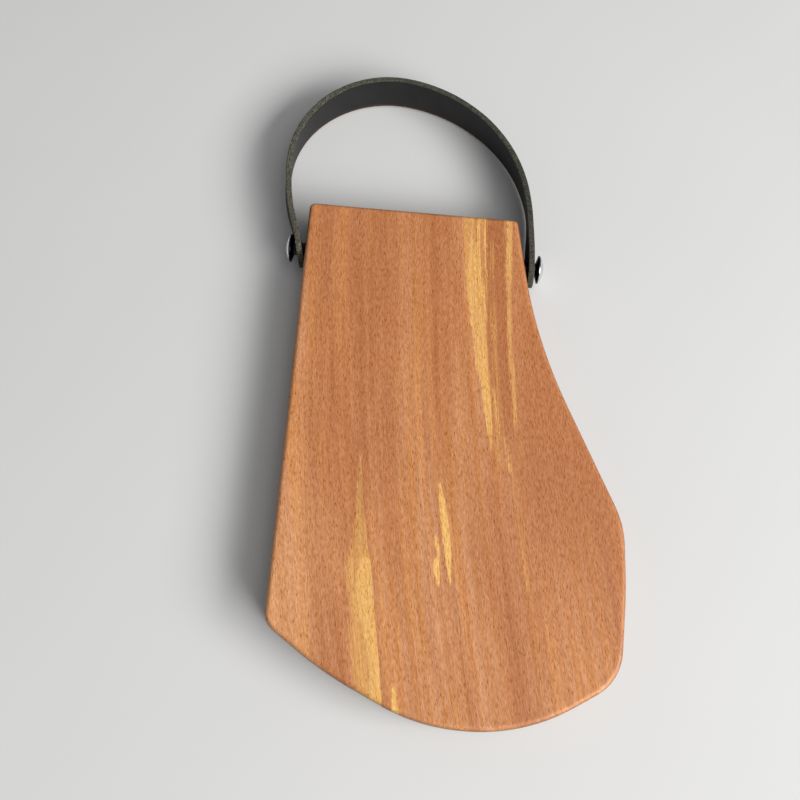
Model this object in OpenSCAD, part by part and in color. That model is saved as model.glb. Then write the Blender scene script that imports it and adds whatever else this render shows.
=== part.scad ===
// Serving board with a swinging leather carry handle.
// X runs along the handle's hinge line, +Y from the board towards the handle's arch, +Z up.
// The origin lies on the resting plane, straight below the middle of the hinge line.

/* [Board] */
// Thickness of the wooden board
board_thickness = 25; // [24:0.5:32]
// Radius of the eased edges, top and bottom
board_ease = 3; // [1:0.5:3]
// Half width of the board's top edge, left of the hinge centre
top_left_x = 64; // [63.5:0.5:64.5]
// Half width of the board's top edge, right of the hinge centre
top_right_x = 58.5; // [57.5:0.5:59]
// Distance from the hinge line to the board's top edge
top_edge_y = 25; // [22:0.5:28]
// Distance from the hinge line to the board's lowest point
board_reach = 257.5; // [255:0.5:262]
// Distance from the hinge centre to the widest point of the right side
belly_x = 125; // [123:0.5:128]

/* [Handle strap] */
// Width of the leather strap
strap_width = 22; // [16:0.5:22]
// Thickness of the leather
strap_thickness = 3.4; // [2.6:0.1:3.4]
// Half distance between the strap's arms at the pins
strap_half_span = 68; // [67.8:0.1:68.2]
// Skew of the left arm on its pin, in degrees
left_skew = 15; // [12:1:15]
// Skew of the right arm on its pin, in degrees
right_skew = 3; // [0:1:5]
// Inward lean of the strap's left run, in degrees
strap_lean = 21.5; // [20:0.5:23]
// Radius of the bend just above the left pin
foot_bend_radius = 30; // [20:1:40]
// Length of the straight left run
left_run = 10; // [8:1:12]
// Radius of the arch above the left run
left_arc_radius = 112; // [106:1:118]
// Turn of the arch above the left run, in degrees
left_arc_turn = 20; // [18:1:22]
// Radius of the arch's crown
crown_radius = 60; // [59:1:61]
// Turn of the arch's crown, in degrees
crown_turn = 100; // [98:1:102]

/* [Pivot hardware] */
// Half distance between the flat seats cut in the board's sides
seat_x = 62; // [61.5:0.1:62]
// Diameter of the flat seats
seat_diameter = 13; // [12.6:0.1:14]
// Diameter of the spacer collar's flange
collar_diameter = 12; // [10:0.5:12]
// Length of the spacer collar's flange
collar_length = 2.3; // [2.2:0.1:2.4]
// Length of the collar's sleeve, from the flange to the bolt's head
sleeve_length = 6.8; // [6.7:0.1:7.2]
// Diameter of the sleeve the strap turns on
sleeve_diameter = 8; // [7.4:0.1:8.4]
// Radial running clearance between the sleeve and the strap
running_clearance = 0.06; // [0.03:0.01:0.09]
// Diameter of the bolt's domed head
head_diameter = 16.4; // [14:0.2:17]
// Depth of the cone under the head
head_cone = 1.2; // [0.8:0.1:1.3]
// Height of the head's straight rim
head_rim = 1.2; // [1:0.1:2.2]
// Height of the dome above the rim
dome_height = 2.7; // [2.5:0.1:3.2]
// Width across the flats of the head's hexagon socket
socket_flats = 4; // [3:0.5:4]
// Depth of the hexagon socket
socket_depth = 2.4; // [2:0.1:2.6]
// Diameter of the bolt's shank and thread
bolt_diameter = 6; // [5:0.5:6]
// Pitch of the bolt's thread
bolt_pitch = 1; // [0.8:0.1:1.2]
// Outer diameter of the threaded insert
insert_diameter = 10; // [9:0.5:10.5]
// Length of the threaded insert
insert_length = 14; // [12:1:16]
// Pitch of the insert's outer thread
insert_pitch = 2; // [1.8:0.1:2.2]

/* [Hidden] */
$fn = 64;

beech = [0.72, 0.42, 0.22];
black_leather = [0.12, 0.12, 0.12];
gunmetal = [0.24, 0.24, 0.25];
brass = [0.78, 0.62, 0.30];

// Height of the hinge line
pin_z = board_thickness / 2;
// A small overlap that makes cuts break cleanly through a face
cut = 1;

// The board's outline: the corners where its sides would meet, each with the radius that rounds it.
// It runs clockwise from the top left.
waist_x = belly_x - 52;
foot_x = 8.5 - top_left_x;
BOARD_CORNERS = [
    [-top_left_x, top_edge_y, 3.5],
    [top_right_x, top_edge_y, 3.5],
    [waist_x, -50, 300],
    [belly_x - 1.5, -149, 50],
    [belly_x, -182, 250],
    [belly_x - 1.5, 30.5 - board_reach, 27],
    [belly_x - 49, -board_reach, 100],
    [belly_x - 100, -board_reach, 100],
    [-23.5, 20.5 - board_reach, 200],
    [foot_x, 41 - board_reach, 12],
];
// Largest turn between two points of the outline, in degrees
outline_step = 3;
// Number of rings in each eased edge
ease_steps = 5;

// Pivot stations, all measured outwards from the hinge centre
head_x = seat_x + collar_length + sleeve_length;
insert_depth = 1;
bolt_reach = 12;
bore_depth = insert_depth + insert_length + 2;
bolt_thread_depth = 0.5;
insert_thread_depth = 0.8;
bolt_clearance = 0.1;
collar_edge = 0.5;

// The strap's path from the left pin to the right pin. A heading of 0 points along +Y and turns
// towards +X.
left_pin = [-strap_half_span, 0, -left_skew];
right_pin = [strap_half_span, 0, 180 - right_skew];
foot_flat = 5;
path_step = 3;
// Radius of the rounded ends, and how far the strap runs on past each pin before it is rounded
end_radius = strap_width / 2 + 0.2;
tail = end_radius + cut;
left_tip = along_leg(left_pin, [-tail, 0], 1);
RISING_LEGS = [
    [tail + foot_flat, 0],
    arc_leg(foot_bend_radius, left_skew - strap_lean),
    [left_run, 0],
    arc_leg(left_arc_radius, left_arc_turn),
    arc_leg(crown_radius, crown_turn),
];
// The long right shoulder and the straight run below it bring the strap onto the right pin: their
// radius and length solve two linear equations, one for X and one for Y
shoulder = walk_end(RISING_LEGS, left_tip);
gap_to_pin = right_pin - shoulder;
along_x = [cos(shoulder[2]) - cos(right_pin[2]), sin(right_pin[2])];
along_y = [sin(right_pin[2]) - sin(shoulder[2]), cos(right_pin[2])];
determinant = along_x[0] * along_y[1] - along_x[1] * along_y[0];
shoulder_radius = (gap_to_pin.x * along_y[1] - gap_to_pin.y * along_x[1]) / determinant;
right_run = (gap_to_pin.y * along_x[0] - gap_to_pin.x * along_y[0]) / determinant;
STRAP_LEGS = concat(RISING_LEGS, [
    arc_leg(shoulder_radius, gap_to_pin[2]),
    [right_run + tail, 0],
]);

function unit(v) = v / norm(v);
function turned_left(v) = [-v.y, v.x];

// Angle from direction a to direction b, positive when it turns left
function turn_between(a, b) = atan2(a.x * b.y - a.y * b.x, a * b);

// Points of one rounded corner, each as [x, y, outward normal x, outward normal y]
function corner_points(corners, i) =
    let (
        count = len(corners),
        tip = [corners[i].x, corners[i].y],
        before = corners[(i + count - 1) % count],
        after = corners[(i + 1) % count],
        coming = unit(tip - [before.x, before.y]),
        going = unit([after.x, after.y] - tip),
        turn = turn_between(coming, going),
        side = sign(turn),
        radius = corners[i][2],
        start = tip - coming * radius * tan(abs(turn) / 2),
        centre = start + turned_left(coming) * side * radius,
        first = atan2(start.y - centre.y, start.x - centre.x),
        steps = max(2, ceil(abs(turn) / outline_step))
    )
    [
        for (k = [0:steps])
            let (a = first + turn * k / steps, n = [cos(a), sin(a)])
            [centre.x + radius * n.x, centre.y + radius * n.y, -side * n.x, -side * n.y]
    ];

function rounded_outline(corners) = [
    for (i = [0:len(corners) - 1])
        for (p = corner_points(corners, i))
            p
];

// One leg of a path: its length and the angle it turns through
function arc_leg(radius, turn) = [radius * abs(turn) * PI / 180, turn];

// Place and heading after a fraction f of a leg, starting from [x, y, heading]
function along_leg(from, leg, f) =
    let (h = from[2], turn = leg[1], radius = turn == 0 ? 0 : leg[0] * 180 / (PI * turn))
    turn == 0
        ? [from.x + leg[0] * f * sin(h), from.y + leg[0] * f * cos(h), h]
        : [
            from.x + radius * (cos(h) - cos(h + turn * f)),
            from.y + radius * (sin(h + turn * f) - sin(h)),
            h + turn * f
        ];

function walk(legs, from, i = 0) =
    i == len(legs)
        ? [from]
        : let (steps = max(1, ceil(abs(legs[i][1]) / path_step)))
            concat(
                [for (k = [0:steps - 1]) along_leg(from, legs[i], k / steps)],
                walk(legs, along_leg(from, legs[i], 1), i + 1)
            );

// Place and heading at the end of a path
function walk_end(legs, from, i = 0) =
    i == len(legs) ? from : walk_end(legs, along_leg(from, legs[i], 1), i + 1);

// A point beside the path, to the left of its heading by the given distance
function beside(p, distance) = [p.x - distance * cos(p[2]), p.y + distance * sin(p[2])];

// Copies its children to the left or the right pivot, with the local Z axis pointing outwards
module at_pivot(side, x = 0) {
    translate([side * x, 0, pin_z])
        rotate([0, side * 90, 0])
            children();
}

// A slab with the given outline and quarter-round edges
module eased_slab(outline, thickness, ease) {
    count = len(outline);
    angles = [for (k = [0:ease_steps]) 90 * k / ease_steps];
    rings = concat(
        [for (a = angles) [ease * (1 - sin(a)), ease * (1 - cos(a))]],
        [for (a = angles) [ease * (1 - cos(a)), thickness - ease * (1 - sin(a))]]
    );
    points = [
        for (ring = rings)
            for (p = outline)
                [p.x - p[2] * ring[0], p.y - p[3] * ring[0], ring[1]]
    ];
    last = len(rings) - 1;
    sides = [
        for (j = [0:last - 1])
            for (i = [0:count - 1])
                let (next = (i + 1) % count)
                [j * count + i, j * count + next, (j + 1) * count + next, (j + 1) * count + i]
    ];
    bottom = [for (i = [0:count - 1]) count - 1 - i];
    top = [for (i = [0:count - 1]) last * count + i];
    polyhedron(points, concat([bottom, top], sides));
}

// A round bar with a triangular ridge every pitch, standing on the XY plane
module threaded_bar(crest_radius, root_radius, pitch, length) {
    turns = floor(length / pitch);
    ridges = [
        for (k = [0:turns - 1])
            each [
                [root_radius, k * pitch],
                [crest_radius, (k + 0.45) * pitch],
                [crest_radius, (k + 0.55) * pitch]
            ]
    ];
    profile = concat([[0, 0]], ridges, [[root_radius, turns * pitch], [root_radius, length], [0, length]]);
    rotate_extrude() polygon(profile);
}

module board() {
    color(beech)
        difference() {
            eased_slab(rounded_outline(BOARD_CORNERS), board_thickness, board_ease);
            for (side = [-1, 1]) {
                at_pivot(side, seat_x)
                    cylinder(d = seat_diameter, h = 3 * board_ease);
                at_pivot(side, seat_x - bore_depth)
                    cylinder(d = insert_diameter, h = bore_depth + cut);
            }
        }
}

// Everything past a pin that lies outside a disc in the strap's plane: cutting it away rounds the
// strap's end. The strap runs on from the pin along its heading when way is 1, against it when -1.
module end_trim(pin, way) {
    reach = 2 * strap_width;
    translate([pin.x, pin.y, pin_z])
        rotate([0, 0, -pin[2]])
            difference() {
                translate([0, -way * reach / 2, 0])
                    cube(reach, center = true);
                rotate([0, 90, 0])
                    cylinder(r = end_radius, h = reach + cut, center = true);
            }
}

module strap() {
    path = walk(STRAP_LEGS, left_tip);
    half = strap_thickness / 2;
    outer_side = [for (p = path) beside(p, half)];
    inner_side = [for (i = [len(path) - 1:-1:0]) beside(path[i], -half)];
    color(black_leather)
        difference() {
            translate([0, 0, pin_z - strap_width / 2])
                linear_extrude(strap_width)
                    polygon(concat(outer_side, inner_side));
            end_trim(left_pin, 1);
            end_trim(right_pin, -1);
            for (side = [-1, 1])
                at_pivot(side, strap_half_span - strap_thickness)
                    cylinder(d = sleeve_diameter + 2 * running_clearance, h = 2 * strap_thickness);
        }
}

// A flanged bush: the flange spaces the strap off the board, the sleeve carries the strap
module shoulder_collar(side) {
    bore = bolt_diameter / 2 + bolt_clearance;
    flange = collar_diameter / 2;
    sleeve = sleeve_diameter / 2;
    profile = [
        [bore, 0],
        [flange - collar_edge, 0],
        [flange, collar_edge],
        [flange, collar_length - collar_edge],
        [flange - collar_edge, collar_length],
        [sleeve, collar_length],
        [sleeve, head_x - seat_x],
        [bore, head_x - seat_x],
    ];
    color(gunmetal)
        at_pivot(side, seat_x)
            rotate_extrude()
                polygon(profile);
}

// A bolt with a low domed head over a shallow cone, a hexagon socket and a thread that runs into the
// insert
module dome_bolt(side) {
    head = head_diameter / 2;
    dome_radius = (head * head + dome_height * dome_height) / (2 * dome_height);
    dome_base = head_cone + head_rim;
    crown = dome_base + dome_height;
    shank_length = head_x - seat_x + insert_depth;
    color(gunmetal)
        at_pivot(side, head_x) {
            difference() {
                union() {
                    cylinder(r1 = sleeve_diameter / 2, r2 = head, h = head_cone);
                    translate([0, 0, head_cone])
                        cylinder(r = head, h = head_rim);
                    intersection() {
                        translate([0, 0, crown - dome_radius])
                            sphere(r = dome_radius, $fn = 96);
                        translate([0, 0, dome_base])
                            cylinder(r = head, h = dome_height + cut);
                    }
                }
                translate([0, 0, crown - socket_depth])
                    cylinder(d = socket_flats / cos(30), h = socket_depth + cut, $fn = 6);
            }
            translate([0, 0, -shank_length])
                cylinder(d = bolt_diameter, h = shank_length);
            translate([0, 0, -shank_length - bolt_reach])
                threaded_bar(
                    bolt_diameter / 2,
                    bolt_diameter / 2 - bolt_thread_depth,
                    bolt_pitch,
                    bolt_reach
                );
        }
}

// A brass insert: coarse thread outside for the wood, a through bore for the bolt
module threaded_insert(side) {
    crest = insert_diameter / 2;
    color(brass)
        at_pivot(side, seat_x - insert_depth - insert_length)
            difference() {
                threaded_bar(crest, crest - insert_thread_depth, insert_pitch, insert_length);
                translate([0, 0, -cut])
                    cylinder(d = bolt_diameter, h = insert_length + 2 * cut);
            }
}

module left_shoulder_collar() {
    shoulder_collar(-1);
}

module right_shoulder_collar() {
    shoulder_collar(1);
}

module left_dome_bolt() {
    dome_bolt(-1);
}

module right_dome_bolt() {
    dome_bolt(1);
}

module left_threaded_insert() {
    threaded_insert(-1);
}

module right_threaded_insert() {
    threaded_insert(1);
}

board();
strap();
left_shoulder_collar();
right_shoulder_collar();
left_dome_bolt();
right_dome_bolt();
left_threaded_insert();
right_threaded_insert();
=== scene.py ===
"""Looks of a beech serving board with a swinging black leather carry strap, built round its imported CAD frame.

All places are in metres in the part's own frame: X along the hinge line, +Y towards the strap's arch, +Z up.
"""

import math
from collections import namedtuple

import bmesh
import bpy
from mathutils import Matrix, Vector, noise


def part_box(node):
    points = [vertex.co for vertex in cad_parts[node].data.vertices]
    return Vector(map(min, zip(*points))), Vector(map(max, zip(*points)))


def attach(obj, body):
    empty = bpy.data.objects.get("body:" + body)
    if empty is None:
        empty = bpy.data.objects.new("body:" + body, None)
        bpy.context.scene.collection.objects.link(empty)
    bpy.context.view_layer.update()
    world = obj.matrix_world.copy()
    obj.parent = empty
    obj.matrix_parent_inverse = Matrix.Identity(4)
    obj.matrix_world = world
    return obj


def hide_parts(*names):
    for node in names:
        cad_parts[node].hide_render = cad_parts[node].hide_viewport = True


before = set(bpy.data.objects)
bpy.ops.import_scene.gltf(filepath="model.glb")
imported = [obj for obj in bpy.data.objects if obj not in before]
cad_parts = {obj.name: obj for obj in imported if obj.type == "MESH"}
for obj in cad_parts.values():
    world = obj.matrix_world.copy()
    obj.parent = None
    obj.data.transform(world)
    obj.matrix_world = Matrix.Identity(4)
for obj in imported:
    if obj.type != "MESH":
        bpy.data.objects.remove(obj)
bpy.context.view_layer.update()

MM = 0.001
BOARD_BODY = "board_assembly"
STRAP_BODY = "handle"
SIDES = {"left": -1, "right": 1}

# ---- The hinge, read from the CAD parts ------------------------------------------------------------------
BOARD_LOW, BOARD_HIGH = (Vector(corner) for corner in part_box("board"))
STRAP_LOW, STRAP_HIGH = (Vector(corner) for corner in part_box("strap"))
HEAD_LOW, HEAD_HIGH = (Vector(corner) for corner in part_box("right_dome_bolt"))
FLANGE_LOW, FLANGE_HIGH = (Vector(corner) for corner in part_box("right_shoulder_collar"))

THICKNESS = BOARD_HIGH.z - BOARD_LOW.z
PIN_Z = THICKNESS / 2
SEAT_X = FLANGE_LOW.x
HEAD_X = FLANGE_HIGH.x
HEAD_RADIUS = (HEAD_HIGH.z - HEAD_LOW.z) / 2
FLANGE_RADIUS = (FLANGE_HIGH.z - FLANGE_LOW.z) / 2

# ---- Driving sizes of the details ------------------------------------------------------------------------
EDGE_EASE = 3.0 * MM
SEAT_RADIUS = 6.5 * MM
INSERT_RADIUS = 5.0 * MM
BORE_DEPTH = 17.0 * MM

STRAP_WIDTH = STRAP_HIGH.z - STRAP_LOW.z
STRAP_THICKNESS = 3.4 * MM
STRAP_HOLE_RADIUS = 4.06 * MM
PIN_X = 68.0 * MM
FLANGE_LENGTH = 2.3 * MM
FLANGE_EASE = 0.9 * MM
SLEEVE_RADIUS = 4.0 * MM
COLLAR_PLAY = 0.1 * MM
BOLT_RADIUS = 3.0 * MM
THREAD_PITCH = 1.0 * MM
THREAD_DEPTH = 0.5 * MM
HEAD_CONE = 1.2 * MM
HEAD_RIM = 1.2 * MM
HEAD_EASE = 0.9 * MM
CONE_EASE = 0.3 * MM
DOME_STEPS = 20
DOME_HEIGHT = HEAD_HIGH.x - HEAD_X - HEAD_CONE - HEAD_RIM
SOCKET_RADIUS = 2.3 * MM
SOCKET_DEPTH = 2.4 * MM


# ---- Mesh helpers ----------------------------------------------------------------------------------------
def new_object(name, vertices, faces):
    mesh = bpy.data.meshes.new(name)
    mesh.from_pydata([tuple(v) for v in vertices], [], faces)
    mesh.validate()
    piece = bpy.data.objects.new(name, mesh)
    bpy.context.scene.collection.objects.link(piece)
    return piece


def smooth_by_angle(piece, degrees):
    for polygon in piece.data.polygons:
        polygon.use_smooth = True
    sharp = math.cos(math.radians(degrees))
    shape = bmesh.new()
    shape.from_mesh(piece.data)
    shape.normal_update()
    for edge in shape.edges:
        if len(edge.link_faces) == 2:
            first, second = edge.link_faces
            edge.smooth = first.normal.dot(second.normal) > sharp
    shape.to_mesh(piece.data)
    shape.free()


def cut_away(piece, cutter):
    """Cuts the cutter's solid out of the piece and removes the cutter."""
    modifier = piece.modifiers.new("cut", "BOOLEAN")
    modifier.operation = "DIFFERENCE"
    modifier.solver = "EXACT"
    modifier.object = cutter
    graph = bpy.context.evaluated_depsgraph_get()
    result = bpy.data.meshes.new_from_object(piece.evaluated_get(graph))
    piece.modifiers.clear()
    old = piece.data
    piece.data = result
    result.name = piece.name
    bpy.data.meshes.remove(old)
    cutter_mesh = cutter.data
    bpy.data.objects.remove(cutter)
    bpy.data.meshes.remove(cutter_mesh)


def ring_faces(rings, count):
    """Quads between successive closed rings of count points each."""
    return [
        (j * count + i, j * count + (i + 1) % count, (j + 1) * count + (i + 1) % count, (j + 1) * count + i)
        for j in range(rings - 1)
        for i in range(count)
    ]


def lathe(name, side, x, profile, steps=96, hollow=False):
    """Turns a profile of (distance outwards, radius) about the hinge line, starting at x on that side.

    The profile's ends close on the axis with a flat face, or onto each other where the piece is hollow."""
    rings = []
    for outwards, radius in profile:
        for k in range(steps):
            a = 2 * math.pi * k / steps
            rings.append(Vector((side * (x + outwards), radius * math.cos(a), PIN_Z + radius * math.sin(a))))
    faces = ring_faces(len(profile), steps)
    last = (len(profile) - 1) * steps
    if hollow:
        faces += [(last + i, last + (i + 1) % steps, (i + 1) % steps, i) for i in range(steps)]
    else:
        faces.append(tuple(reversed(range(steps))))
        faces.append(tuple(range(last, last + steps)))
    piece = new_object(name, rings, faces)
    make_normals_outward(piece)
    return piece


def make_normals_outward(piece):
    shape = bmesh.new()
    shape.from_mesh(piece.data)
    bmesh.ops.recalc_face_normals(shape, faces=shape.faces)
    shape.to_mesh(piece.data)
    shape.free()


ROUND_STEPS = 4


def rounded(corner, before, after, radius):
    """Points that round a profile's corner between its neighbours."""
    corner, before, after = Vector(corner), Vector(before), Vector(after)
    back = (before - corner).normalized()
    on = (after - corner).normalized()
    half = back.angle(on) / 2
    reach = radius / math.tan(half)
    centre = corner + (back + on).normalized() * radius / math.sin(half)
    start = corner + back * reach - centre
    end = corner + on * reach - centre
    turn = start.angle(end)
    shares = [k / ROUND_STEPS for k in range(ROUND_STEPS + 1)]
    weights = [(math.sin((1 - share) * turn), math.sin(share * turn)) for share in shares]
    return [tuple(centre + (start * a + end * b) / math.sin(turn)) for a, b in weights]


def rounded_profile(points, radii):
    """The profile with its inner corners rounded; a radius of 0 keeps a corner sharp."""
    out = [points[0]]
    for i in range(1, len(points) - 1):
        if radii[i] > 0:
            out += rounded(points[i], points[i - 1], points[i + 1], radii[i])
        else:
            out.append(points[i])
    out.append(points[-1])
    return out


# ---- Shader helpers --------------------------------------------------------------------------------------
class Shader:
    """A material's node tree, with short calls for the nodes that the materials below share."""

    def __init__(self, name, rgb):
        self.material = bpy.data.materials.new(name)
        self.material.use_nodes = True
        self.material.diffuse_color = (*rgb, 1)
        self.tree = self.material.node_tree
        self.tree.nodes.clear()
        self.surface = self.tree.nodes.new("ShaderNodeBsdfPrincipled")
        output = self.tree.nodes.new("ShaderNodeOutputMaterial")
        self.tree.links.new(self.surface.outputs["BSDF"], output.inputs["Surface"])
        self.place = self.tree.nodes.new("ShaderNodeTexCoord").outputs["Object"]

    def put(self, socket, value):
        if isinstance(value, bpy.types.NodeSocket):
            self.tree.links.new(value, socket)
        elif isinstance(value, tuple) and len(value) == 3 and socket.type == "RGBA":
            socket.default_value = (*value, 1)
        else:
            socket.default_value = value

    def set(self, **values):
        """Sets the surface's sockets: base_color=..., roughness=..."""
        names = {i.name.lower().replace(" ", "_").replace(".", ""): i for i in self.surface.inputs}
        for key, value in values.items():
            self.put(names[key], value)

    def math(self, operation, a, b=0.0):
        node = self.tree.nodes.new("ShaderNodeMath")
        node.operation = operation
        self.put(node.inputs[0], a)
        self.put(node.inputs[1], b)
        return node.outputs[0]

    def add(self, *terms):
        total = terms[0]
        for term in terms[1:]:
            total = self.math("ADD", total, term)
        return total

    def times(self, *factors):
        total = factors[0]
        for factor in factors[1:]:
            total = self.math("MULTIPLY", total, factor)
        return total

    def axes(self, vector):
        node = self.tree.nodes.new("ShaderNodeSeparateXYZ")
        self.put(node.inputs[0], vector)
        return node.outputs[0], node.outputs[1], node.outputs[2]

    def vector(self, x, y, z):
        node = self.tree.nodes.new("ShaderNodeCombineXYZ")
        for socket, value in zip(node.inputs, (x, y, z)):
            self.put(socket, value)
        return node.outputs[0]

    def millimetres(self):
        """The three object coordinates in millimetres."""
        return tuple(self.math("MULTIPLY", axis, 1 / MM) for axis in self.axes(self.place))

    def noise(self, vector, scale=1.0, detail=3.0, roughness=0.5):
        node = self.tree.nodes.new("ShaderNodeTexNoise")
        self.put(node.inputs["Vector"], vector)
        node.inputs["Scale"].default_value = scale
        node.inputs["Detail"].default_value = detail
        node.inputs["Roughness"].default_value = roughness
        return node.outputs[0]

    def cells(self, vector, scale=1.0):
        """Distance to the nearest cell centre, and a random number for each cell."""
        node = self.tree.nodes.new("ShaderNodeTexVoronoi")
        self.put(node.inputs["Vector"], vector)
        node.inputs["Scale"].default_value = scale
        return node.outputs["Distance"], self.axes(node.outputs["Color"])[0]

    def step(self, value, low, high, out_low=0.0, out_high=1.0):
        """A smooth step from out_low to out_high as value goes from low to high."""
        node = self.tree.nodes.new("ShaderNodeMapRange")
        node.interpolation_type = "SMOOTHSTEP"
        for name, number in (("Value", value), ("From Min", low), ("From Max", high)):
            self.put(node.inputs[name], number)
        node.inputs["To Min"].default_value = out_low
        node.inputs["To Max"].default_value = out_high
        return node.outputs["Result"]

    def mix(self, factor, a, b):
        """Colour a where the factor is 0 and colour b where it is 1."""
        node = self.tree.nodes.new("ShaderNodeMix")
        node.data_type = "RGBA"
        node.clamp_factor = True
        self.put(node.inputs[0], factor)
        self.put(node.inputs[6], a)
        self.put(node.inputs[7], b)
        return node.outputs[2]

    def curve(self, value, points):
        """A smooth curve through (input, output) points, both from 0 to 1."""
        node = self.tree.nodes.new("ShaderNodeFloatCurve")
        self.put(node.inputs["Value"], value)
        line = node.mapping.curves[0]
        while len(line.points) < len(points):
            line.points.new(0.5, 0.5)
        for point, (at, level) in zip(line.points, points):
            point.location = (at, level)
        node.mapping.update()
        return node.outputs["Value"]

    def shade(self, colour, amount, tint):
        """The colour times 1 + amount * tint, channel by channel."""
        scaled = self.tree.nodes.new("ShaderNodeVectorMath")
        scaled.operation = "SCALE"
        scaled.inputs[0].default_value = tint
        self.put(scaled.inputs["Scale"], amount)
        factor = self.tree.nodes.new("ShaderNodeVectorMath")
        factor.operation = "ADD"
        self.put(factor.inputs[0], scaled.outputs[0])
        factor.inputs[1].default_value = (1, 1, 1)
        product = self.tree.nodes.new("ShaderNodeVectorMath")
        product.operation = "MULTIPLY"
        self.put(product.inputs[0], colour)
        self.put(product.inputs[1], factor.outputs[0])
        return product.outputs[0]

    def bump(self, height, strength, distance):
        node = self.tree.nodes.new("ShaderNodeBump")
        node.inputs["Strength"].default_value = strength
        node.inputs["Distance"].default_value = distance
        self.put(node.inputs["Height"], height)
        return node.outputs["Normal"]


# ---- Beech -----------------------------------------------------------------------------------------------
# The grain leans and curves down the board: drift = GRAIN_LEAN * y + GRAIN_BEND * y^2, in millimetres.
GRAIN_LEAN = -0.09
GRAIN_BEND = 0.000283

# How strongly each part of the grain's fine texture lightens and darkens the wood.
DASH_CONTRAST = 1.35
FINE_CONTRAST = 0.95
FIBRE_CONTRAST = 0.35
FLECK_CONTRAST = -0.62
PORE_CONTRAST = -0.42
GRAIN_LEVEL = 0.11

# Pale sapwood streaks. A streak's points are (y, left edge, right edge) in millimetres, in the straightened
# grain. Then come how soft its edges are, how strong it is, and how far dark grain breaks it up, from 0 to 1.
Streak = namedtuple("Streak", "points soft_left soft_right strength ragged")
HINGE_STREAKS = [
    Streak(
        [(14, 33, 34.5), (2, 32, 35.5), (-6, 31, 36.3), (-14, 30.2, 36.6), (-28, 30.5, 37), (-42, 31.5, 39.5),
         (-56, 32.5, 39.8), (-69, 33.2, 40.1), (-82, 35.6, 40.3), (-95, 36.5, 40.3), (-116, 38, 39)],
        0.9, 1.1, 1.0, 0.45,
    ),
    Streak(
        [(30, 36, 42), (8, 36, 41.8), (-6, 36, 42), (-28, 36, 41.4), (-42, 37, 40.5)],
        1.2, 1.4, 1.0, 0.92,
    ),
    Streak([(30, 32.5, 35), (6, 32.5, 35)], 0.9, 0.9, 0.9, 0.7),
    Streak([(30, 28.8, 32), (8, 29, 32), (-8, 29.4, 31.8), (-18, 30, 31.2)], 1.0, 1.0, 0.55, 0.3),
    Streak([(8, 44, 46), (-30, 42.5, 46), (-80, 41.5, 46), (-125, 41, 46)], 1.2, 1.2, 0.45, 1.0),
    Streak(
        [(30, 53, 56.6), (-5, 52.6, 56), (-26, 52.4, 55), (-54, 51.8, 54.2), (-81, 52.2, 54), (-104, 52, 53)],
        1.3, 1.2, 0.80, 0.5,
    ),
    Streak([(-80, 41, 43), (-104, 43, 45.5), (-128, 46.5, 49)], 1.0, 1.0, 0.8, 1.0),
    Streak([(-112, 46, 48), (-140, 48, 49.5), (-165, 48.5, 50), (-188, 48, 49.5)], 1.2, 1.2, 0.5, 1.0),
]
MIDDLE_SPINDLES = [
    Streak(
        [(-136, 8.9, 9.7), (-146, 8.3, 11.2), (-158, 8.2, 12.2), (-172, 8.5, 12), (-182, 8.8, 11),
         (-189, 9.4, 10)],
        0.3, 0.3, 1.0, 0.10,
    ),
    Streak(
        [(-164, 4.6, 5.4), (-168, 3.8, 6), (-175, 4.4, 5.8), (-178, 2.4, 5.2), (-185, 2.2, 5), (-190, 3, 4)],
        0.3, 0.3, 1.0, 0.10,
    ),
]
FOOT_STREAKS = [
    Streak(
        [(-124, -33.6, -32.4), (-146, -36, -33), (-165, -38.5, -32), (-190, -41, -31)],
        1.8, 0.6, 0.50, 0.6,
    ),
    Streak(
        [(-158, -35.5, -33), (-172, -38.5, -31.8), (-178, -42.5, -31.4), (-186, -45.2, -30.6),
         (-205, -44, -30.5), (-225, -46, -31.2), (-252, -44, -32.5)],
        2.0, 0.5, 0.68, 0.65,
    ),
    Streak(
        [(-178, -35, -31), (-198, -40, -30.8), (-215, -38, -31.2), (-232, -37, -31.5), (-252, -39, -32.5)],
        1.3, 0.5, 1.0, 0.30,
    ),
    Streak([(-240, -26, -25), (-254, -28, -24)], 0.4, 0.4, 1.0, 0.1),
]
# The range of the curves that the edges follow
STREAK_SPAN_Y = (-260.0, 40.0)
STREAK_SPAN_U = (-80.0, 80.0)


def unit_range(value, span):
    return (value - span[0]) / (span[1] - span[0])


def streak_mask(s, u, y, jag, broken, streak):
    """1 inside a streak and 0 outside it, in the straightened grain's coordinates."""
    points = sorted(streak.points)
    along = s.times(s.add(y, -STREAK_SPAN_Y[0]), 1 / (STREAK_SPAN_Y[1] - STREAK_SPAN_Y[0]))
    width = STREAK_SPAN_U[1] - STREAK_SPAN_U[0]

    def edge(column):
        line = [(unit_range(p[0], STREAK_SPAN_Y), unit_range(p[column], STREAK_SPAN_U)) for p in points]
        return s.add(s.times(s.curve(along, line), width), STREAK_SPAN_U[0])

    left = s.math("SUBTRACT", s.add(u, s.times(jag, streak.soft_left)), edge(1))
    right = s.math("SUBTRACT", edge(2), s.add(u, s.times(jag, streak.soft_right)))
    low, high = points[0][0], points[-1][0]
    ends = s.times(s.step(y, low - 2, low + 2), s.step(y, high - 2, high + 2, 1.0, 0.0))
    fade_left, fade_right = (0.15 + 0.35 * soft**2 for soft in (streak.soft_left, streak.soft_right))
    inside = s.times(s.step(left, -fade_left, fade_left), s.step(right, -fade_right, fade_right))
    whole = s.add(s.times(broken, streak.ragged), 1 - streak.ragged)
    return s.times(inside, ends, whole, streak.strength)


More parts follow.
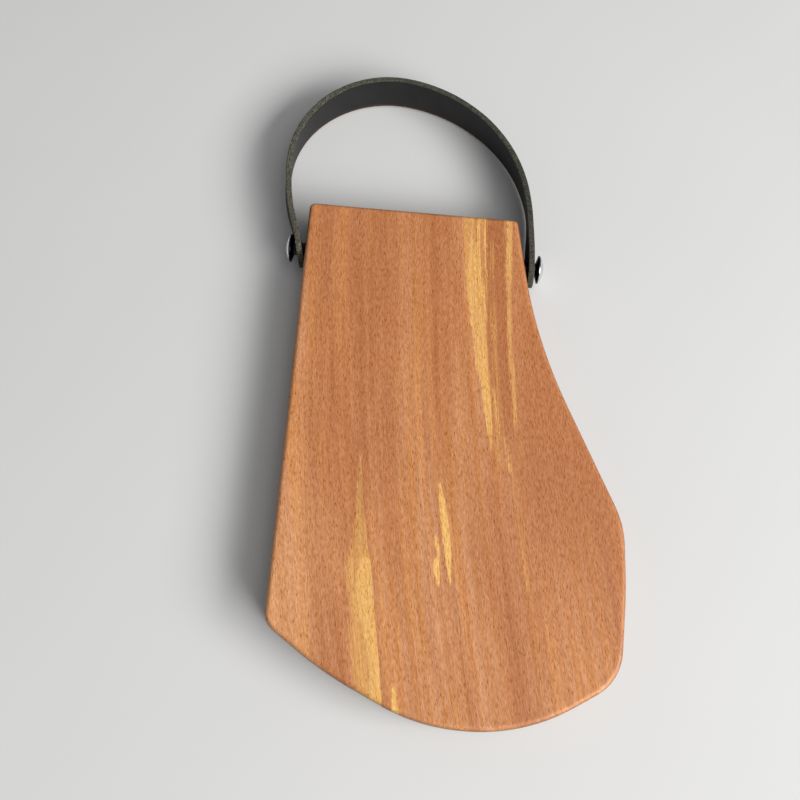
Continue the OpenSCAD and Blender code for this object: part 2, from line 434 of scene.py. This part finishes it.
def beech_material():
    s = Shader("beech", (0.6, 0.27, 0.12))
    x, y, z = s.millimetres()
    drift = s.add(s.times(y, GRAIN_LEAN), s.times(s.math("MULTIPLY", y, y), GRAIN_BEND))
    wander = s.noise(s.vector(s.times(x, 0.012), s.times(y, 0.006), s.times(z, 0.02)), detail=1)
    u = s.add(s.math("SUBTRACT", x, drift), s.times(s.add(wander, -0.5), 5.0))

    def along_grain(across, along, detail=3.0, roughness=0.5, shift=0.0):
        place = s.vector(s.add(s.times(u, across), shift), s.times(y, along), s.times(z, across))
        return s.noise(place, detail=detail, roughness=roughness)

    broad = along_grain(0.05, 0.0035, 2, 0.5)
    bands = along_grain(0.30, 0.007, 2, 0.5, 7.0)
    lines = along_grain(0.75, 0.022, 2, 0.6, 3.0)
    stripes = along_grain(0.26, 0.010, 2, 0.5, 13.0)
    fibres = along_grain(1.9, 0.03, 2, 0.6, 5.0)

    # Ray flecks: dense short dashes along the grain, dark and light, in open and crowded patches
    dashes = along_grain(1.55, 0.27, 1.5, 0.6, 23.0)
    fine_dashes = along_grain(2.4, 0.40, 1, 0.5, 31.0)
    crowd = along_grain(0.10, 0.03, 2, 0.5, 11.0)
    near, chance = s.cells(s.vector(s.times(u, 1.45), s.times(y, 0.27), s.times(z, 1.45)))
    chosen = s.step(s.add(chance, s.times(crowd, 0.8)), 0.50, 0.90)
    fleck = s.times(s.step(near, 0.14, 0.34, 1.0, 0.0), chosen)
    near, chance = s.cells(s.vector(s.add(s.times(u, 2.3), 9.0), s.times(y, 0.42), s.times(z, 2.3)))
    pore = s.times(s.step(near, 0.12, 0.36, 1.0, 0.0), s.step(chance, 0.25, 0.70))
    grain = s.add(
        s.times(s.add(dashes, -0.5), DASH_CONTRAST),
        s.times(s.add(fine_dashes, -0.5), FINE_CONTRAST),
        s.times(s.add(fibres, -0.5), FIBRE_CONTRAST),
        s.times(fleck, FLECK_CONTRAST),
        s.times(pore, PORE_CONTRAST),
        GRAIN_LEVEL,
    )

    # Broad bands of pinkish tan and orange, browner on the right and towards the top
    light = (0.700, 0.302, 0.132)
    orange = (0.710, 0.284, 0.092)
    brown = (0.548, 0.195, 0.069)
    tan = (0.780, 0.370, 0.165)
    colour = s.mix(s.step(bands, 0.40, 0.60), light, orange)
    colour = s.mix(s.times(s.step(broad, 0.38, 0.62), 0.90), colour, brown)
    colour = s.shade(colour, s.add(lines, -0.5), (0.36, 0.54, 0.70))
    colour = s.shade(colour, s.add(stripes, -0.5), (0.55, 0.80, 1.00))
    colour = s.mix(s.times(s.step(y, -230, 40), 0.42), colour, brown)
    colour = s.mix(s.times(s.step(x, 35, 80), s.step(y, -260, -120), 0.85), colour, brown)
    colour = s.mix(s.times(s.step(x, -5, -55), s.step(y, -120, -200), 0.60), colour, tan)

    # Dark wood between the two long streaks by the hinge, and a slightly darker lower right
    between = s.times(s.step(u, 38, 42), s.step(u, 54, 50), s.step(y, -140, -70))
    colour = s.mix(s.times(between, 0.75), colour, (0.480, 0.158, 0.052))
    foot = s.times(s.step(x, -40, 30), s.step(y, -40, -180))
    colour = s.shade(colour, foot, (-0.070, -0.075, -0.070))

    # Streaks of pale sapwood, broken up by the grain
    jag = s.add(
        s.times(s.add(along_grain(1.2, 0.05, 3, 0.65, 17.0), -0.5), 3.2),
        s.times(s.add(fibres, -0.5), 1.4),
        s.times(s.add(dashes, -0.5), 2.2),
    )
    broken = s.step(s.add(s.times(fibres, 0.65), s.times(dashes, 0.35)), 0.54, 0.47)
    total = None
    for streak in HINGE_STREAKS + MIDDLE_SPINDLES + FOOT_STREAKS:
        mask = streak_mask(s, u, y, jag, broken, streak)
        total = mask if total is None else s.math("MAXIMUM", total, mask)
    pale = s.mix(s.step(lines, 0.35, 0.65), (0.97, 0.55, 0.165), (0.92, 0.47, 0.130))
    colour = s.mix(total, colour, pale)
    colour = s.shade(colour, grain, (0.52, 0.88, 1.45))

    # Painted shade: the eased edge is darkened, and the sides and underside below it more so, to dull the
    # edge's highlight towards the window and the warm light the lit sides throw onto the floor
    top = THICKNESS / MM
    colour = s.shade(colour, s.step(z, top - 0.05, top - 1.6), (-0.48, -0.38, -0.30))
    colour = s.shade(colour, s.step(z, top - 3.5, top - 7.0), (-0.45, -0.45, -0.45))

    relief = s.add(s.times(dashes, 0.6), s.times(fibres, 0.5), s.times(fleck, -0.35))
    s.set(
        base_color=colour,
        roughness=s.add(s.times(lines, 0.12), s.times(fleck, 0.08), 0.40),
        normal=s.bump(relief, 0.35, 0.00012),
        specular_ior_level=0.42,
    )
    return s.material


# ---- Leather ---------------------------------------------------------------------------------------------
def leather_face_material():
    """The smooth dyed face: fine pores, cloudy dye, faint scuffs along the band and a soft sheen."""
    s = Shader("black_leather_face", (0.04, 0.04, 0.04))
    x, y, z = s.millimetres()
    place = s.vector(x, y, z)
    grain, chance = s.cells(place, 1.9)
    cloud = s.noise(place, 0.09, 3, 0.55)
    fine = s.noise(place, 2.4, 4, 0.6)
    scuff = s.noise(s.vector(s.times(x, 0.5), s.times(y, 0.5), s.times(z, 2.2)), 0.9, 4, 0.65)
    colour = s.mix(s.step(cloud, 0.30, 0.72), (0.0115, 0.0115, 0.0118), (0.0165, 0.0164, 0.0162))
    colour = s.mix(s.times(s.step(scuff, 0.58, 0.80), 0.35), colour, (0.032, 0.031, 0.029))
    relief = s.add(s.times(s.step(grain, 0.0, 0.55), 0.55), s.times(fine, 0.6), s.times(chance, 0.1))
    s.set(
        base_color=colour,
        roughness=s.add(s.times(fine, 0.14), s.times(cloud, 0.08), 0.46),
        normal=s.bump(relief, 0.30, 0.00010),
        specular_ior_level=0.30,
    )
    return s.material


def leather_edge_material():
    """The raw cut edge: olive grey and mottled, with pale fibres mostly on the left arm, and darker brown along
    the bottom, partly its own colour and partly painted shade.
    """
    s = Shader("leather_cut_edge", (0.09, 0.09, 0.075))
    x, y, z = s.millimetres()
    place = s.vector(x, y, z)
    mottled = s.noise(place, 0.75, 4, 0.7)
    fibre = s.noise(place, 1.5, 3, 0.70)
    worn = s.step(x, 30, -50)
    colour = s.mix(s.step(mottled, 0.36, 0.64), (0.040, 0.040, 0.032), (0.098, 0.094, 0.072))
    specks = s.times(s.step(fibre, 0.52, 0.66), s.add(s.times(worn, 0.75), 0.15))
    colour = s.mix(specks, colour, (0.330, 0.305, 0.215))
    colour = s.mix(s.times(s.step(fibre, 0.46, 0.34), 0.70), colour, (0.022, 0.022, 0.019))
    # Darker brown towards the bottom of the edge: partly the leather's own colour, partly painted shade
    colour = s.mix(s.times(s.step(z, 9, 4), 0.85), colour, (0.050, 0.026, 0.014))
    s.set(
        base_color=colour,
        roughness=0.88,
        normal=s.bump(s.add(s.times(fibre, 0.8), s.times(mottled, 0.7)), 0.75, 0.00035),
        specular_ior_level=0.25,
    )
    return s.material


# ---- Metals ----------------------------------------------------------------------------------------------
def gunmetal_material():
    """Black nickel, bright over the domes and dark in their sockets, with turning marks and smudges; the heads'
    cones, rims and undersides and the collars are near black, painted shade.
    """
    s = Shader("gunmetal", (0.25, 0.25, 0.26))
    x, y, z = s.millimetres()
    across = s.add(z, -PIN_Z / MM)
    radius = s.math("SQRT", s.add(s.math("MULTIPLY", y, y), s.math("MULTIPLY", across, across)))
    turning = s.noise(s.vector(s.times(radius, 9.0), s.times(x, 6.0), 0.0), 1.0, 2, 0.5)
    smudge = s.noise(s.vector(x, y, z), 0.80, 3, 0.6)
    outwards = s.add(s.math("ABSOLUTE", x), -(HEAD_X + HEAD_CONE + HEAD_RIM) / MM)
    black_finish_and_shade = (0.030, 0.031, 0.033)
    polished = s.mix(s.step(smudge, 0.38, 0.64), (0.860, 0.860, 0.850), (0.640, 0.645, 0.650))
    # Painted shade: inward of the dome, the heads' cones, rims and undersides and the collars take the
    # near-black colour
    colour = s.mix(s.step(outwards, -0.6, 0.0), black_finish_and_shade, polished)
    socket = SOCKET_RADIUS / MM
    colour = s.mix(s.step(radius, socket - 0.4, socket), black_finish_and_shade, colour)
    s.set(
        base_color=colour,
        metallic=1.0,
        roughness=s.add(s.times(smudge, 0.10), s.times(turning, 0.05), 0.07),
        normal=s.bump(turning, 0.10, 0.00003),
    )
    return s.material


def brass_material():
    """Turned brass with fine tool lines round the bore."""
    s = Shader("turned_brass", (0.72, 0.52, 0.22))
    x, y, z = s.millimetres()
    lines = s.noise(s.vector(s.times(x, 7.0), s.times(y, 0.3), s.times(z, 0.3)), 1.0, 3, 0.6)
    tarnish = s.noise(s.vector(x, y, z), 0.35, 3, 0.6)
    s.set(
        base_color=s.mix(s.step(tarnish, 0.35, 0.7), (0.780, 0.570, 0.240), (0.560, 0.380, 0.150)),
        metallic=1.0,
        roughness=s.add(s.times(lines, 0.15), 0.24),
        normal=s.bump(lines, 0.2, 0.00004),
    )
    return s.material


# ---- Board -----------------------------------------------------------------------------------------------
def cad_outline():
    """The board's outline, read clockwise from the CAD board's vertices at the top of its straight wall."""
    level = BOARD_HIGH.z - EDGE_EASE
    found = {}
    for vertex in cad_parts["board"].data.vertices:
        if abs(vertex.co.z - level) < 0.02 * MM:
            found[(round(vertex.co.x / MM, 2), round(vertex.co.y / MM, 2))] = vertex.co.to_2d()
    middle = Vector(((BOARD_LOW.x + BOARD_HIGH.x) / 2, (BOARD_LOW.y + BOARD_HIGH.y) / 2))
    return sorted(found.values(), key=lambda p: -math.atan2(p.y - middle.y, p.x - middle.x))


def dense_outline(points, spacing):
    """The outline as closely spaced (point, outward normal) pairs, smooth through the given points."""
    count = len(points)
    steps = [points[(i + 1) % count] - points[i] for i in range(count)]
    tangents = [(steps[i - 1] + steps[i]).normalized() for i in range(count)]
    out = []
    for i in range(count):
        start, end = points[i], points[(i + 1) % count]
        reach = steps[i].length
        pull, push = tangents[i] * reach, tangents[(i + 1) % count] * reach
        pieces = max(1, round(reach / spacing))
        for k in range(pieces):
            t = k / pieces
            place = (
                start * (2 * t**3 - 3 * t**2 + 1)
                + pull * (t**3 - 2 * t**2 + t)
                + end * (3 * t**2 - 2 * t**3)
                + push * (t**3 - t**2)
            )
            along = (
                start * (6 * t**2 - 6 * t) + pull * (3 * t**2 - 4 * t + 1) + end * (6 * t - 6 * t**2)
                + push * (3 * t**2 - 2 * t)
            ).normalized()
            out.append((place, Vector((-along.y, along.x))))
    return out


OUTLINE_SPACING = 1.2 * MM
EASE_STEPS = 10
# A narrow flat ring inside the ease keeps the broad faces' shading flat.
EASE_SUPPORT = 0.6 * MM
# The hand-sanded ease is a share of its full size, and swells and shrinks by a smaller share as it goes.
EASE_SHARE = 0.92
EASE_SWELL = 0.14
EASE_SWELLS_PER_METRE = 22


def make_board():
    """The slab with eased edges, and the seats and bores for the pivots."""
    outline = dense_outline(cad_outline(), OUTLINE_SPACING)
    quarter = [math.pi / 2 * k / EASE_STEPS for k in range(EASE_STEPS + 1)]

    def ease_at(place, z):
        swell = noise.noise(Vector((place.x, place.y, z)) * EASE_SWELLS_PER_METRE) * EASE_SWELL
        return EDGE_EASE * (EASE_SHARE + swell)

    # Rings of vertices from the lower face's edge up to the upper face's, then one inside each broad face
    rings = [(True, a) for a in reversed(quarter)] + [(False, a) for a in quarter]
    vertices = []
    for below, a in rings:
        for place, normal in outline:
            ease = ease_at(place, -1 if below else 1)
            inset = ease * (1 - math.cos(a))
            rise = ease * (1 - math.sin(a))
            spot = place - normal * inset
            z = rise if below else THICKNESS - rise
            vertices.append(Vector((spot.x, spot.y, BOARD_LOW.z + z)))
    count = len(outline)
    for z in (THICKNESS, 0):
        for place, normal in outline:
            spot = place - normal * (ease_at(place, 1 if z else -1) + EASE_SUPPORT)
            vertices.append(Vector((spot.x, spot.y, BOARD_LOW.z + z)))
    faces = ring_faces(len(rings), count)
    top = len(rings) * count
    bottom = top + count
    last = (len(rings) - 1) * count
    faces += [(last + i, last + (i + 1) % count, top + (i + 1) % count, top + i) for i in range(count)]
    faces += [(i, bottom + i, bottom + (i + 1) % count, (i + 1) % count) for i in range(count)]
    faces.append(tuple(range(top, top + count)))
    faces.append(tuple(reversed(range(bottom, bottom + count))))
    piece = new_object("beech_board", vertices, faces)
    make_normals_outward(piece)
    reach = 12 * MM
    for name, side in SIDES.items():
        cut_away(piece, lathe(f"seat_{name}", side, SEAT_X, [(0, SEAT_RADIUS), (reach, SEAT_RADIUS)], 96))
        bore = [(-BORE_DEPTH, INSERT_RADIUS), (1 * MM, INSERT_RADIUS)]
        cut_away(piece, lathe(f"bore_{name}", side, SEAT_X, bore, 64))
    smooth_by_angle(piece, 32)
    weigh = piece.modifiers.new("weighted_normals", "WEIGHTED_NORMAL")
    weigh.keep_sharp = True
    piece.data.materials.append(beech_material())
    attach(piece, BOARD_BODY)
    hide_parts("board")
    return piece


# ---- Strap -----------------------------------------------------------------------------------------------
# The strap's path from the left pin to the right pin, as the CAD strap has it. A heading of 0 points along +Y
# and turns towards +X. Lengths and radii are in millimetres, angles in degrees.
LEFT_SKEW = 15
RIGHT_SKEW = 3
FOOT_FLAT = 5
FOOT_BEND_RADIUS = 30
STRAP_LEAN = 21.5
LEFT_RUN = 10
LEFT_ARC = (112, 20)
CROWN_ARC = (60, 100)
# Twist of the band, in degrees: its upper edge leans outwards at the crown and inwards over the arms.
CROWN_LEAN_OUT = 5.1
SIDE_LEAN_IN = 8.0
# It is square up to TWIST_START past the hinge line, and the twist comes in over the next TWIST_LENGTH.
TWIST_START = 5.0 * MM
TWIST_LENGTH = 40.0 * MM
# The leather's slow ripples, the roughness of its cut edges, and the rounding of their corners
RIPPLE = 0.075 * MM
RIPPLES_PER_METRE = 60
CUT_ROUGHNESS = 0.10 * MM
CUT_BUMPS_PER_METRE = 900
CUT_EASE = 0.45 * MM
# Spacing of the sections, in millimetres. Each rounded end stops a hair short of half the strap's width past
# its pin, and its last section keeps a small width.
STRAP_STEP = 1.0
TIP_STEPS = 14
TIP_REACH = 0.999
TIP_HALF_WIDTH = 0.5 * MM


def bend(radius, turn):
    """A bending leg of the path as (length, turn)."""
    return radius * math.radians(abs(turn)), turn


def follow(legs, start, spacing):
    """(x, y, heading) at the start and along every leg."""
    x, y, heading = start
    stations = [start]
    for length, turn in legs:
        steps = max(1, math.ceil(length / spacing))
        half_turn = math.radians(turn / steps / 2)
        chord = length / steps * (math.sin(half_turn) / half_turn if turn else 1)
        for _ in range(steps):
            x += chord * math.sin(math.radians(heading) + half_turn)
            y += chord * math.cos(math.radians(heading) + half_turn)
            heading += turn / steps
            stations.append((x, y, heading))
    return stations


def strap_stations(spacing):
    """Stations from pin to pin.

    The shoulder's radius and the right run's length are solved so that the path ends on the right pin."""
    rising = [
        (FOOT_FLAT, 0),
        bend(FOOT_BEND_RADIUS, LEFT_SKEW - STRAP_LEAN),
        (LEFT_RUN, 0),
        bend(*LEFT_ARC),
        bend(*CROWN_ARC),
    ]
    left_pin = (-PIN_X / MM, 0.0, -LEFT_SKEW)
    x, y, heading = follow(rising, left_pin, spacing)[-1]
    last = 180 - RIGHT_SKEW
    start, end = math.radians(heading), math.radians(last)
    gap_x, gap_y = PIN_X / MM - x, -y
    a, b = math.cos(start) - math.cos(end), math.sin(end)
    c, d = math.sin(end) - math.sin(start), math.cos(end)
    determinant = a * d - b * c
    shoulder_radius = (gap_x * d - gap_y * b) / determinant
    right_run = (gap_y * a - gap_x * c) / determinant
    return follow(rising + [bend(shoulder_radius, last - heading), (right_run, 0)], left_pin, spacing)


def eased(t):
    t = min(1.0, max(0.0, t))
    return t * t * (3 - 2 * t)


def section(half_thickness, half_width, edge_radius):
    """A rounded rectangle as (across the thickness, across the width, is cut edge) points."""
    flat_steps, edge_steps, corner_steps = 14, 6, 3
    a, b, r = half_thickness, half_width, min(edge_radius, half_width * 0.9)
    points = []

    def line(start, end, steps, cut):
        for k in range(steps):
            f = k / steps
            points.append((start[0] + (end[0] - start[0]) * f, start[1] + (end[1] - start[1]) * f, cut))

    def corner(centre, first):
        for k in range(corner_steps):
            angle = math.radians(first + 90 * k / corner_steps)
            points.append((centre[0] + r * math.cos(angle), centre[1] + r * math.sin(angle), True))

    line((a, -(b - r)), (a, b - r), flat_steps, False)
    corner((a - r, b - r), 0)
    line((a - r, b), (-(a - r), b), edge_steps, True)
    corner((-(a - r), b - r), 90)
    line((-a, b - r), (-a, -(b - r)), flat_steps, False)
    corner((-(a - r), -(b - r)), 180)
    line((-(a - r), -b), (a - r, -b), edge_steps, True)
    corner((a - r, -(b - r)), 270)
    return points


def make_strap():
    half_width = STRAP_WIDTH / 2
    half = STRAP_THICKNESS / 2
    path = strap_stations(STRAP_STEP)
    rings = []

    def ring(x, y, heading, width):
        """One cross-section; the band's twist fades out at the pins, where the hardware holds it square."""
        h = math.radians(heading)
        outwards = Vector((-math.cos(h), math.sin(h), 0))
        up = Vector((0, 0, 1))
        free = eased((y - TWIST_START) / TWIST_LENGTH)
        crown, flank = max(0.0, outwards.y) ** 2, outwards.x**2
        lean = math.radians(CROWN_LEAN_OUT * crown - SIDE_LEAN_IN * flank) * free
        up_leaning = up * math.cos(lean) + outwards * math.sin(lean)
        out_leaning = outwards * math.cos(lean) - up * math.sin(lean)
        middle = Vector((x, y, PIN_Z))
        points = []
        for a, b, cut in section(half, width, CUT_EASE):
            spot = middle + out_leaning * a + up_leaning * b
            rough = abs(noise.noise(spot * CUT_BUMPS_PER_METRE)) * CUT_ROUGHNESS if cut else 0
            place = Vector((spot.x * RIPPLES_PER_METRE, spot.y * RIPPLES_PER_METRE, 5))
            ripple = noise.noise(place) * RIPPLE * free
            points.append(spot - up_leaning * math.copysign(rough, b) + out_leaning * ripple)
        rings.append(points)

    def tip(pin, way):
        """The rounded end past a pin: half widths that follow a semicircle."""
        x, y, heading = pin
        h = math.radians(heading)
        for k in range(1, TIP_STEPS + 1) if way > 0 else range(TIP_STEPS, 0, -1):
            angle = math.radians(90 * k / TIP_STEPS)
            beyond = way * half_width * math.sin(angle) * TIP_REACH
            width = max(half_width * math.cos(angle), TIP_HALF_WIDTH)
            ring(x * MM + beyond * math.sin(h), y * MM + beyond * math.cos(h), heading, width)

    tip(path[0], -1)
    for x, y, heading in path:
        ring(x * MM, y * MM, heading, half_width)
    tip(path[-1], 1)

    count = len(rings[0])
    vertices = [point for points in rings for point in points]
    faces = ring_faces(len(rings), count)
    faces.append(tuple(reversed(range(count))))
    faces.append(tuple(range(len(vertices) - count, len(vertices))))
    piece = new_object("leather_strap", vertices, faces)
    make_normals_outward(piece)
    cut_flags = [cut for _, _, cut in section(half, half_width, CUT_EASE)]
    piece.data.materials.append(leather_face_material())
    piece.data.materials.append(leather_edge_material())
    for index, polygon in enumerate(piece.data.polygons):
        column = index % count
        side_face = index < (len(rings) - 1) * count
        edge = cut_flags[column] or cut_flags[(column + 1) % count]
        polygon.material_index = 1 if not side_face or edge else 0
    for name, side in SIDES.items():
        hole = [(-STRAP_THICKNESS, STRAP_HOLE_RADIUS), (STRAP_THICKNESS, STRAP_HOLE_RADIUS)]
        cut_away(piece, lathe(f"strap_hole_{name}", side, PIN_X, hole, 64))
    smooth_by_angle(piece, 50)
    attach(piece, STRAP_BODY)
    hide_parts("strap")
    return piece


# ---- Pivot hardware --------------------------------------------------------------------------------------
def make_bolt(name, side, metal):
    """A domed head over a shallow cone, with a hexagon socket, on a plain shank that ends in the insert."""
    dome_radius = (HEAD_RADIUS**2 + DOME_HEIGHT**2) / (2 * DOME_HEIGHT)
    dome_base = HEAD_CONE + HEAD_RIM
    crown = dome_base + DOME_HEIGHT
    shank_end = HEAD_LOW.x - HEAD_X
    thread_start = SEAT_X - HEAD_X - 1 * MM
    root = BOLT_RADIUS - THREAD_DEPTH
    profile = [(shank_end, root)]
    turns = int((thread_start - shank_end) / THREAD_PITCH)
    for k in range(turns):
        base = shank_end + k * THREAD_PITCH
        profile += [(base + 0.45 * THREAD_PITCH, BOLT_RADIUS), (base + 0.55 * THREAD_PITCH, BOLT_RADIUS)]
        profile.append((base + THREAD_PITCH, root))
    profile += [(thread_start, BOLT_RADIUS), (-0.001 * MM, BOLT_RADIUS)]
    under = [
        (0, SLEEVE_RADIUS),
        (HEAD_CONE, HEAD_RADIUS),
        (dome_base, HEAD_RADIUS),
        (dome_base + 1.0 * MM, HEAD_RADIUS - 2 * MM),
    ]
    profile += rounded_profile(under, [0, CONE_EASE, HEAD_EASE, 0])[:-1]
    rim_angle = math.asin((HEAD_RADIUS - 0.6 * MM) / dome_radius)
    for k in range(DOME_STEPS):
        angle = rim_angle * (1 - k / DOME_STEPS)
        profile.append((crown - dome_radius * (1 - math.cos(angle)), dome_radius * math.sin(angle)))
    profile.append((crown, 0.02 * MM))
    piece = lathe(name, side, HEAD_X, profile)
    socket = lathe(
        "socket", side, HEAD_X, [(crown - SOCKET_DEPTH, SOCKET_RADIUS), (crown + 1 * MM, SOCKET_RADIUS)], 6
    )
    cut_away(piece, socket)
    smooth_by_angle(piece, 35)
    piece.data.materials.append(metal)
    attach(piece, BOARD_BODY)
    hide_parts(name.replace("polished_", ""))
    return piece


def make_collar(name, side, metal):
    """A flanged bush: a rounded flange against the board and a sleeve through the strap."""
    bore = BOLT_RADIUS + COLLAR_PLAY
    sleeve_end = HEAD_X - SEAT_X
    outer = [
        (0, bore),
        (0, FLANGE_RADIUS),
        (FLANGE_LENGTH, FLANGE_RADIUS),
        (FLANGE_LENGTH, SLEEVE_RADIUS),
        (sleeve_end, SLEEVE_RADIUS),
        (sleeve_end, bore),
    ]
    profile = rounded_profile(outer, [0, 0.3 * MM, FLANGE_EASE, 0, 0.15 * MM, 0])
    piece = lathe(name, side, SEAT_X, profile, hollow=True)
    smooth_by_angle(piece, 40)
    piece.data.materials.append(metal)
    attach(piece, BOARD_BODY)
    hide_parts(name.replace("polished_", ""))
    return piece


def dress_insert(node, brass):
    """The hidden insert keeps its CAD shape and gets turned brass."""
    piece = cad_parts[node]
    piece.data.materials.clear()
    piece.data.materials.append(brass)


# ---- Set, light and camera -------------------------------------------------------------------------------
FLOOR_HALF = 6.0
FLOOR_Z = -0.2 * MM


def make_floor():
    signs = ((-1, -1), (1, -1), (1, 1), (-1, 1))
    corners = [Vector((x * FLOOR_HALF, y * FLOOR_HALF, FLOOR_Z)) for x, y in signs]
    floor = new_object("floor", corners, [(0, 1, 2, 3)])
    s = Shader("pale_floor", (0.8, 0.8, 0.79))
    x, y, z = s.millimetres()
    cloud = s.noise(s.vector(x, y, z), 0.006, 2, 0.5)
    s.set(base_color=s.mix(cloud, (0.780, 0.780, 0.775), (0.820, 0.820, 0.815)), roughness=0.75)
    floor.data.materials.append(s.material)


def aim(thing, target):
    direction = Vector(target) - thing.location
    thing.rotation_euler = direction.to_track_quat("-Z", "Y").to_euler()


def area_light(name, height, distance, size, power):
    """A rectangular light in the direction LIGHT_BEARING, that many degrees high, aimed at the board."""
    data = bpy.data.lights.new(name, "AREA")
    data.shape = "RECTANGLE"
    data.size, data.size_y = size
    data.energy = power
    data.color = LIGHT_COLOUR
    light = bpy.data.objects.new(name, data)
    bearing, rise = math.radians(LIGHT_BEARING), math.radians(height)
    towards = Vector((math.cos(bearing) * math.cos(rise), math.sin(bearing) * math.cos(rise), math.sin(rise)))
    light.location = Vector(LIGHT_TARGET) + towards * distance
    bpy.context.scene.collection.objects.link(light)
    aim(light, LIGHT_TARGET)


# A broad window low on the right of the board's foot, a dimmer ceiling glow above it, and a dim room
LIGHT_TARGET = (0.03, -0.10, 0)
LIGHT_COLOUR = (1.0, 0.995, 0.985)
LIGHT_BEARING = -27
WINDOW = {"height": 33, "distance": 3.2, "size": (2.9, 1.3), "power": 132}
CEILING = {"height": 68, "distance": 2.4, "size": (2.2, 1.6), "power": 8.5}
ROOM_STRENGTH = 0.17


def make_light():
    area_light("window", **WINDOW)
    area_light("ceiling", **CEILING)
    world = bpy.data.worlds.new("studio")
    world.use_nodes = True
    background = world.node_tree.nodes["Background"]
    background.inputs["Color"].default_value = (0.97, 0.98, 1.0, 1)
    background.inputs["Strength"].default_value = ROOM_STRENGTH
    bpy.context.scene.world = world


# The camera looks along the board from above its foot, tipped up by CAMERA_TILT from straight down.
CAMERA_PLACE = (0.0171, -0.2548, 0.4844)
CAMERA_TILT = 19.5
CAMERA_TURN = 5.7
CAMERA_LENS = 40.5


def make_camera():
    data = bpy.data.cameras.new("camera")
    data.sensor_width = 36
    data.lens = CAMERA_LENS
    data.clip_start = 0.01
    camera = bpy.data.objects.new("camera", data)
    camera.location = CAMERA_PLACE
    camera.rotation_euler = (math.radians(CAMERA_TILT), 0, math.radians(CAMERA_TURN))
    bpy.context.scene.collection.objects.link(camera)
    bpy.context.scene.camera = camera


make_board()
make_strap()
gunmetal = gunmetal_material()
brass = brass_material()
for label, direction in SIDES.items():
    make_collar(f"polished_{label}_shoulder_collar", direction, gunmetal)
    make_bolt(f"polished_{label}_dome_bolt", direction, gunmetal)
    dress_insert(f"{label}_threaded_insert", brass)
make_floor()
make_light()
make_camera()
bpy.context.scene.view_settings.view_transform = "Standard"
